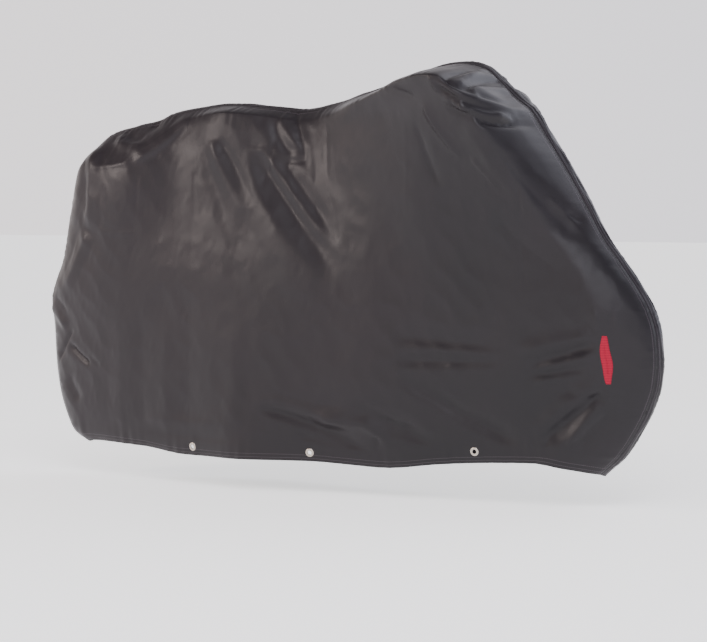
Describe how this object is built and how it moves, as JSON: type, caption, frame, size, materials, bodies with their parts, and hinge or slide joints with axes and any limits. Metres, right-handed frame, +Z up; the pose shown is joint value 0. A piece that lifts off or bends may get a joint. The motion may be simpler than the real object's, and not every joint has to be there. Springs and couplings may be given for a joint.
{
  "type": "bicycle cover",
  "caption": "Fitted cloth cover in the draped shape it takes over an upright bicycle: two side panels, a centre strip, a hem band with metal eyelets and a coloured lock patch.",
  "frame": {"origin": "underside of the centre strip at its highest point, over the handlebar", "axes": "+X forward along the bicycle, +Y to the bicycle's left, +Z up"},
  "size_m": [1.9254, 0.5139, 1.0871],
  "materials": {
    "panel_cloth": "coated woven polyester, dark grey, soft satin",
    "strip_cloth": "coated woven polyester, dark grey, soft satin",
    "nickel": "nickel-plated, polished",
    "red_webbing": "woven webbing, red, matt"
  },
  "bodies": {
    "root": {"side_panel_right": "panel_cloth", "side_panel_left": "panel_cloth", "centre_strip": "strip_cloth", "hem_band_right": "panel_cloth", "hem_band_left": "panel_cloth", "eyelet_right_rear": "nickel", "eyelet_right_middle": "nickel", "eyelet_right_front": "nickel", "eyelet_left_rear": "nickel", "eyelet_left_middle": "nickel", "eyelet_left_front": "nickel", "lock_patch_right": "red_webbing", "lock_patch_left": "red_webbing"}
  },
  "joints": []
}
